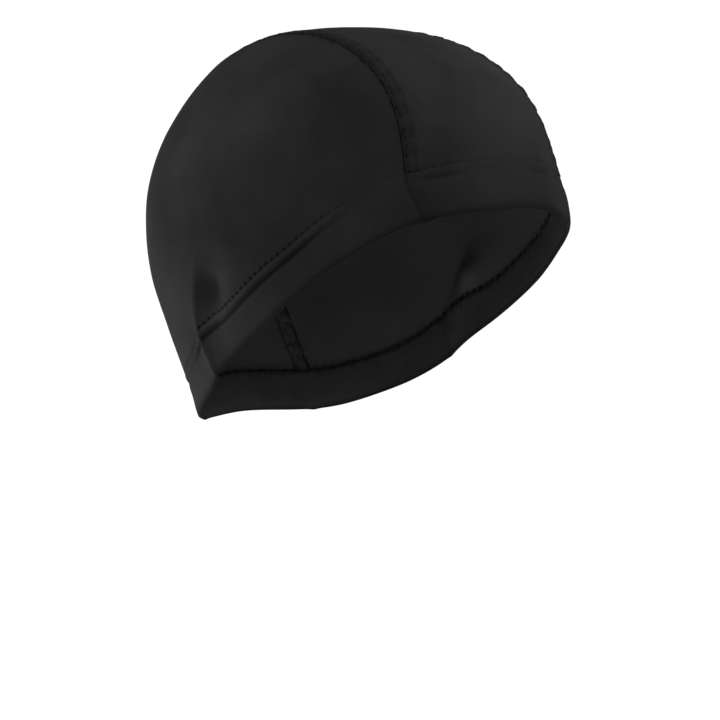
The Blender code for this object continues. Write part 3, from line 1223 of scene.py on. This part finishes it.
def makePanels(materials):
    grid, shares, right, left, width = centreGrid()
    relief, sewn = centreRelief(grid, shares, right, left, width)
    lengths = (walkAlong(right)[-1], float(width.max()))
    made = [makePanel("centrePanelCloth", "centre_panel", grid, relief, sewn, lengths, materials)]
    for side, hand in ((-1, "right"), (1, "left")):
        grid, shares, seam, width = sideGrid(side)
        relief, sewn = sideRelief(grid, shares, seam, width, gathering[hand + "Panel"])
        lengths = (walkAlong(seam)[-1], float(width.max()))
        made.append(makePanel(
            hand + "PanelCloth", hand + "_panel", grid, relief, sewn, lengths, materials))
    print("panels made")
    return made


def makeHem(knit):
    grid, sewn, outerRows, full = hemGrid()
    lengths = (hemWalked[-1], hemCloth["foldedWidth"] * float(full.max()))
    hem = clothSheet("hemCloth", grid, lengths, hemCloth["thickness"], [knit], True, sewn)
    finishPiece(hem, ["hem"])
    print("hem made")
    return hem, grid, outerRows, lengths


def makeHemStitches(grid, outerRows, thread):
    stitch = oneStitch("hemStitch", stitchThread["hemLength"], thread)
    normals = gridNormals(grid[:outerRows], True)
    step = hemCloth["columnsPerStitch"]
    lowerRow = nearestRow(hemSteps, hemCloth["rowGap"])
    copies = []
    for row, shift, deeper in ((0, 0, 0.0), (lowerRow, step // 2, stitchThread["lowerSink"])):
        at = np.arange(shift, grid.shape[1], step)
        points = grid[row, at]
        tight = 1 - hemStrength(azimuthOf(points))
        copies += sewRow(stitch, points, normals[row, at], tight * stitchThread["hemSink"] + deeper)
    bpy.data.objects.remove(stitch)
    sewn = joinAll("hemStitches", copies)
    finishPiece(sewn)
    print("hem stitches sewn")
    return sewn


def makeHemLooper(grid, thread):
    inner = grid[-1]
    normals = gridNormals(grid[-8:], True)[-1]
    normals = -normals * np.sign(np.sum(normals * inner, -1, keepdims=True))
    top = inner + np.array([0, 0, hemCloth["thickness"]])
    bottom = grid[-3]
    lift = hemCloth["thickness"] + stitchThread["hemLooperLift"]
    line = zigzag(top[:-1:2], bottom[:-1:2], normals[:-1:2], lift)
    looper = threadPath("hemLooper", line, thread, True)
    finishPiece(looper)
    return looper


# The needle threads outside, the pressed allowance inside and the looper thread over it
def makeSeam(side, name, node, centreRows, thread, inside):
    step = seamCloth["columnsPerStitch"]
    order = 1 if side < 0 else -1
    rows = centreRows[::order]
    normals = gridNormals(centreRows)[::order]
    stitch = oneStitch("seamStitch", stitchThread["seamLength"], thread)
    copies = []
    at = np.arange(0, rows.shape[1], step)
    uneven = np.sin(at * stitchThread["seamSinkTurn"])
    sink = stitchThread["seamSink"] + stitchThread["seamSinkSpread"] * uneven
    needled = [nearestRow(fineSteps, row[0]) for row in needleRows]
    for row in needled:
        copies += sewRow(stitch, rows[row, at], normals[row, at], sink)
    bpy.data.objects.remove(stitch)
    under = panelCloth["thickness"] + stitchThread["looperDepth"]
    last = stitchThread["flapRows"] - 1
    first = rows[1] - normals[1] * under
    second = rows[last] - normals[last] * under
    line = zigzag(first[::2], second[::2], -normals[last // 2, ::2], stitchThread["looperLift"])
    looper = threadPath(name + "Looper", line, thread)
    sewn = joinAll(name, copies + [looper])
    finishPiece(sewn, [node])
    covered = slice(0, stitchThread["flapRows"], 3)
    flap = rows[covered] - normals[covered] * (panelCloth["thickness"] + stitchThread["flapClear"])
    lengths = (float(walkAlong(rows[needled[0]])[-1]), seamCloth["foldWidth"])
    allowance = clothSheet(name + "Allowance", flap, lengths, stitchThread["flapThickness"], [inside])
    finishPiece(allowance)
    print(name, "sewn")
    return sewn, allowance, flap, lengths


# Floor

floorForm = {"height": -0.66, "radius": 9.0, "color": (0.985, 0.985, 0.985)}


def makeFloor():
    deselectAll()
    bpy.ops.mesh.primitive_circle_add(
        vertices=96, radius=floorForm["radius"], fill_type="NGON", location=(0, 0, floorForm["height"]))
    floor = bpy.context.object
    floor.name = "paleFloor"
    material, _, shader = newMaterial("floorPaint", {"Roughness": 0.9, "Specular IOR Level": 0.1})
    shader.inputs["Base Color"].default_value = (*floorForm["color"], 1)
    floor.data.materials.append(material)
    print("floor made")


def main():
    makeCamera()
    makeLights()
    makeSurround()
    makeKickers()
    makeFloor()
    outside, inside, hemKnit = (makeKnit(name) for name in knits)
    thread = makeThreadMaterial()
    panels = makePanels([outside, inside])
    hem, hemRows, outerRows, hemLengths = makeHem(hemKnit)
    hemStitches = makeHemStitches(hemRows, outerRows, thread)
    hemLooper = makeHemLooper(hemRows, thread)
    centreRows = panels[0][1]
    seams = [
        makeSeam(-1, "rightSeamThread", "right_seam", centreRows, thread, inside),
        makeSeam(1, "leftSeamThread", "left_seam", centreRows, thread, inside),
    ]
    for panel, grid, lengths in panels:
        declareCut(panel, grid, lengths)
    declareCut(hem, hemRows, hemLengths)
    for threads, allowance, flap, lengths in seams:
        declareCut(allowance, flap, lengths)


main()
